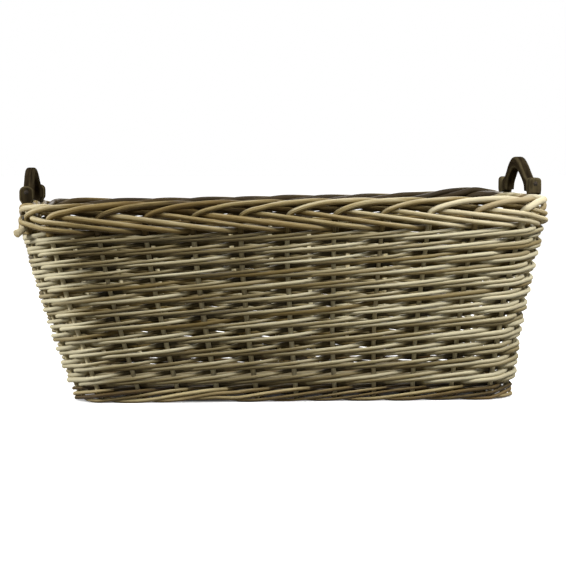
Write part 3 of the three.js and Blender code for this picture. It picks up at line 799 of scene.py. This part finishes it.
# %% The two edges of a bow
HANDLE_X, POST_Y, PIN_RISE = 0.31868, 0.0918, 0.013
POST_GAP = 0.0004  # a post stands this far above the border
post_bottom = {end: stake_place(first + 1, RIM_TOP)[2] + POST_GAP
               for end, first in (("left", LEFT), ("right", RIGHT))}
BOW_HALF, BOW_LEG, BOW_THICK = POST_Y - 0.0104, 0.0235, 0.013
BOW_SHOULDER, BOW_DROP, CROWN_DEPTH = 0.004, 0.010, 0.0150
crown_rise = {"left": 0.0305, "right": 0.0344}  # handmade: the left bow is a little lower
# shares of half the span and of the rise, from a leg to the crown
outer_shares = [
    (1, -0.49), (1, -0.3), (1, -0.1), (0.998, -0.03), (0.985, 0.02), (0.93, 0.06), (0.83, 0.12), (0.74, 0.22),
    (0.62, 0.40), (0.50, 0.61), (0.37, 0.79), (0.25, 0.91), (0.16, 0.97), (0.07, 0.995), (0, 1)]
inner_shares = [
    (1, 0), (0.995, 0.03), (0.985, 0.08), (0.97, 0.15), (0.945, 0.23), (0.90, 0.33), (0.84, 0.43),
    (0.77, 0.53), (0.66, 0.65), (0.53, 0.77), (0.39, 0.875), (0.25, 0.95), (0.16, 0.978), (0.07, 0.995), (0, 1)]

def bow_edge(shares, half, bottom, top):
    """One edge of the bow from a leg over the crown to the other leg, as (y, z) from the pin."""
    rising = np.array([(half * span, bottom + (top - bottom) * rise) for span, rise in shares])
    return through_keys(np.concatenate([rising, rising[-2::-1] * [-1, 1]]), 4)

print("bows span", round(2000 * BOW_HALF), "mm")

# %% The bows
ENDS = (("left", -1), ("right", 1))
LEG_END, LEG_NEXT = 0.72, 0.95  # the last two sections of a leg are smaller
crown_lean = {"left": -0.0024, "right": -0.0019}
# painted light: the right bow's edges are painted paler than the left's
bow_wear = {"left": 0.20, "right": 0.50}
for end, side in ENDS:
    outer = bow_edge(outer_shares, BOW_HALF, BOW_SHOULDER, crown_rise[end])
    inner = bow_edge(inner_shares, BOW_HALF - BOW_LEG, -BOW_DROP, crown_rise[end] - CROWN_DEPTH)
    outer[:, 1] = np.maximum(outer[:, 1], -BOW_DROP)
    middle, half = (outer + inner) / 2, (outer - inner) / 2
    shrink = np.ones(len(outer))
    shrink[[0, -1]], shrink[[1, -2]] = LEG_END, LEG_NEXT
    span = middle[:, None] + half[:, None] * (square[:, 0] * shrink[:, None])[..., None]
    lean = crown_lean[end] * ease(middle[:, 1], 0, crown_rise[end])
    x = side * HANDLE_X + lean[:, None] + BOW_THICK / 2 * square[:, 1] * shrink[:, None]
    sections = np.stack([x, span[..., 0], post_bottom[end] + PIN_RISE + span[..., 1]], -1)
    run = np.concatenate([[0], np.cumsum(np.linalg.norm(np.diff(middle, axis=0), axis=1))])
    grains = np.stack(np.broadcast_arrays(run[:, None], BOW_LEG / 2 * square[:, 0],
                                          BOW_THICK / 2 * square[:, 1] + side), -1)
    wear = np.broadcast_to(edge_wear, x.shape) * bow_wear[end]
    if side > 0:
        sections, grains, wear = sections[:, ::-1], grains[:, ::-1], wear[:, ::-1]
    bow = loft(f"bow_{end}", sections, grains, wear, wood_finish)
    dress(bow, f"handle_{end}_bow", f"{end}_handle")
print("bows:", len(ENDS))

# %% [markdown]
# ## The posts and pins
# A post is a small block that a leg of the bow turns against. The left ones have a round top,
# the right ones a flatter one. A cube with a bevel could be shaped by hand, but an outline
# that is carried across the post, and drawn in a little at both faces, gives the worn edges
# at once. A pin is turned like a rivet: a profile goes round its axis.

# %% The outline of a post
DOME_RISE, DOME_POINTS = 0.0078, 17
SIDE_POINTS, FLOOR_POINTS = 6, 5
FOOT_EDGE, FOOT_STEP = 0.0006, 0.0008  # the lowest edge of a post is broken by these
NARROW_FROM, NARROWING = 0.004, 90  # below this height a post narrows

def post_outline(half, squareness, below):
    """Counter-clockwise outline as (x, z): squareness 2 gives a round top, more a flat one."""
    turn = np.linspace(0, math.pi, DOME_POINTS)
    round_x = np.sign(np.cos(turn)) * np.abs(np.cos(turn)) ** (2 / squareness)
    dome = np.stack([half * round_x, PIN_RISE + DOME_RISE * np.sin(turn) ** (2 / squareness)], -1)
    rise = np.linspace(FOOT_EDGE - below, PIN_RISE, SIDE_POINTS)[:-1]
    narrow = NARROWING * np.clip(NARROW_FROM - rise, 0, 1) * below / NARROW_FROM
    right = np.stack([half * (1 - narrow), rise], -1)
    foot = right[0, 0] - FOOT_STEP
    floor = np.stack([np.linspace(-foot, foot, FLOOR_POINTS), np.full(FLOOR_POINTS, -below)], -1)
    return np.concatenate([right, dome, right[::-1] * [-1, 1], floor])

post_shape = {"left": post_outline(half=0.0088, squareness=2.3, below=0.0030),
              "right": post_outline(half=0.0080, squareness=3.4, below=0.0008)}
print("points of a post's outline:", len(post_shape["left"]))

# %% The posts
LEGS = (("front", -1), ("back", 1))
POST_HALF_Y = 0.010
RUBBED_AND_LIT, RUBBED_TO = 0.75, 0.002  # sections that are drawn in by less are the edges, paler from rubbed wear and painted highlight
# painted light: the right posts are painted paler all over than the left ones
post_wear = {"left": 0.05, "right": 0.55}
GRAIN_X, GRAIN_Y = 0.3, 0.7  # these move the grain, so that no two posts have the same fibres
# places across a post as shares of its half, and how far the outline is drawn in there
half_stations = [(1, 0.0024), (0.965, 0.0011), (0.9, 0.0004), (0.78, 0)]
stations = [(-place, inset) for place, inset in half_stations] + [(0, 0)] + half_stations[::-1]
for end, side in ENDS:
    outline = post_shape[end]
    tangent = np.roll(outline, -1, axis=0) - np.roll(outline, 1, axis=0)
    outward = np.stack([tangent[:, 1], -tangent[:, 0]], -1)
    outward /= np.linalg.norm(outward, axis=1, keepdims=True)
    for name, way in LEGS:
        sections, wear = [], []
        for place, inset in stations:
            flat = outline - outward * inset
            y = way * POST_Y + POST_HALF_Y * place
            sections.append(np.stack([side * HANDLE_X + flat[:, 0], np.full(len(flat), y),
                                      post_bottom[end] + flat[:, 1]], -1))
            wear.append(np.full(len(flat), RUBBED_AND_LIT if 0 < inset < RUBBED_TO else post_wear[end]))
        sections = np.array(sections)[::-1]
        local = sections - [side * HANDLE_X, way * POST_Y, post_bottom[end]]
        grains = np.stack([local[..., 2], local[..., 0] + GRAIN_X * side, local[..., 1] + GRAIN_Y * way], -1)
        post = loft(f"post_{end}_{name}", sections, grains, np.array(wear), wood_finish)
        dress(post, f"handle_{end}_{name}_post")
print("posts:", len(ENDS) * len(LEGS))

# %% Pins with a domed head
PIN_SIDES, PIN_POINT = 20, 0.0002  # the ends close on a very small ring
# radius, and distance out from the face of the post
pin_profile = [
    (0.0000, 0.0008), (0.0016, 0.0006), (0.0028, 0.0001), (0.0031, -0.0004), (0.0030, -0.0008),
    (0.0025, -0.0010), (0.0025, -0.0120), (0.0025, -0.0240), (0.0025, -0.0352), (0.0020, -0.0359),
    (0.0000, -0.0360)]
turn = np.linspace(0, 2 * math.pi, PIN_SIDES, endpoint=False)
for end, side in ENDS:
    for name, way in LEGS:
        sections = []
        for radius, out in pin_profile:
            radius = max(radius, PIN_POINT)
            y = way * (POST_Y + POST_HALF_Y + out)
            sections.append(np.stack([side * HANDLE_X + radius * np.cos(turn), np.full(PIN_SIDES, y),
                                      post_bottom[end] + PIN_RISE + radius * np.sin(turn)], -1))
        sections = np.array(sections)
        if way < 0:
            sections = sections[:, ::-1]
        pin = loft(f"pin_{end}_{name}", sections, sections, np.zeros(sections.shape[:2]), iron_finish)
        dress(pin, f"handle_{end}_{name}_pin")
print("pins:", len(ENDS) * len(LEGS))

# %% [markdown]
# ## Floor and light
# The basket stands on a pale floor that runs into a white background. More light would make
# the floor white, but it would bleach the basket too, so the white is a glow that only the
# camera, mirrors and glass see, and that fades out under the basket. The object is lit by a
# dim sky and four soft lamps at a plain level: one from the left that gives every rod its
# shaded side, one from the front right, one above the front, and one that fills the back.

# %% A floor that looks white
def seen_directly(finish):
    """1 for what the camera, a mirror or glass shows, and 0 for light on the object."""
    ray = finish.add("LightPath").outputs
    seen = finish.combine("MAXIMUM", ray["Is Camera Ray"], ray["Is Glossy Ray"])
    return finish.combine("MAXIMUM", seen, ray["Is Transmission Ray"])

def pale_floor():
    finish = Finish(bpy.data.materials.new("pale_floor"))
    place = finish.add("TexCoord").outputs["Object"]
    tint = finish.ramp(finish.noise(place, scale=1.5, detail=2.0), [(0.3, "#ecece9"), (0.7, "#f4f4f2")])
    seen = seen_directly(finish)
    distance = finish.combine("LENGTH", place, kind="VectorMath", output="Value")
    white = finish.stretch(distance, 0.45, 1.1, 0.72, 1.0)
    middle = finish.combine("SUBTRACT", place, [BASE_LEAN, 0, 0], kind="VectorMath")
    half = [BASE_LENGTH / 2, BASE_WIDTH / 2, 1]
    shares = finish.combine("DIVIDE", middle, half, kind="VectorMath")
    shares = finish.combine("ABSOLUTE", shares, kind="VectorMath")
    sides = finish.add("SeparateXYZ", [("Vector", shares)]).outputs
    open_floor = finish.stretch(finish.combine("MAXIMUM", sides["X"], sides["Y"]), 0.93, 1.06, 0.02, 1.0)
    white = finish.combine("MULTIPLY", white, open_floor)
    finish.give("Base Color", finish.mix(seen, paint("#6f6c66"), tint))
    finish.give("Emission Strength", finish.combine("MULTIPLY", white, seen))
    finish.give("Emission Color", [1, 1, 1, 1])
    finish.give("Roughness", 0.9)
    finish.give("Specular IOR Level", 0.1)
    return finish.holder

floor_finish = pale_floor()
print("floor finish:", floor_finish.name)

# %% The floor
FLOOR_HALF = 30.0
mesh = bpy.data.meshes.new("floor")
corners = [(x * FLOOR_HALF, y * FLOOR_HALF, 0) for x, y in ((-1, -1), (1, -1), (1, 1), (-1, 1))]
mesh.from_pydata(corners, [], [(0, 1, 2, 3)])
mesh.materials.append(floor_finish)
floor = linked("floor", mesh)
print("floor in metres:", round(2 * FLOOR_HALF))

# %% The sky
SKY_LIGHT = 0.09  # what the sky adds to the lamps
sky = Finish(bpy.data.worlds.new("white_room"), "Background")
bpy.context.scene.world = sky.holder
sky.give("Color", [1, 1, 1, 1])
sky.give("Strength", sky.stretch(seen_directly(sky), 0, 1, SKY_LIGHT, 1.0))
print("light of the sky:", SKY_LIGHT)

# %% Four lamps
def lamp(name, place, aim, size, power):
    light = bpy.data.lights.new(name, "AREA")
    light.shape, light.size, light.energy = "DISK", size, power
    piece = linked(name, light)
    piece.location = place
    x, y, z = np.array(aim) - np.array(place)
    piece.rotation_euler = (math.atan2(math.hypot(x, y), -z), 0, math.atan2(y, x) - math.pi / 2)

lamp("window_left", place=(-2.0, -0.45, 0.9), aim=(-0.3, 0, 0.15), size=0.5, power=46)
lamp("front_right", place=(0.85, -0.75, 1.0), aim=(0.45, 0, 0.2), size=0.4, power=17)
lamp("front_top", place=(-0.1, -1.3, 2.2), aim=(0, 0, 0.1), size=0.7, power=24)
lamp("back_fill", place=(0.3, 2.0, 1.5), aim=(0, 0, 0.15), size=1.0, power=34)

# %% [markdown]
# ## Camera
# The photograph was taken from a little above the rim and left of the middle, from about two
# metres away, with a long lens. A camera could be aimed with a Track To constraint, but here
# its place and its two angles were fitted to the corners of the rim, the foot and the handles,
# so they are written down. It turns to face the basket, and no lens shift is needed.

# %% The camera
LOOK_DOWN, LOOK_RIGHT = math.radians(4.13), math.radians(3.78)
camera = bpy.data.cameras.new("camera")
camera.lens, camera.sensor_width = 106.5, 36
camera_piece = linked("camera", camera)
camera_piece.location = (-0.1385, -2.1912, 0.2942)
camera_piece.rotation_euler = (math.pi / 2 - LOOK_DOWN, 0, -LOOK_RIGHT)
bpy.context.scene.camera = camera_piece
bpy.context.scene.view_settings.view_transform = "Standard"
print("lens in mm:", camera.lens)
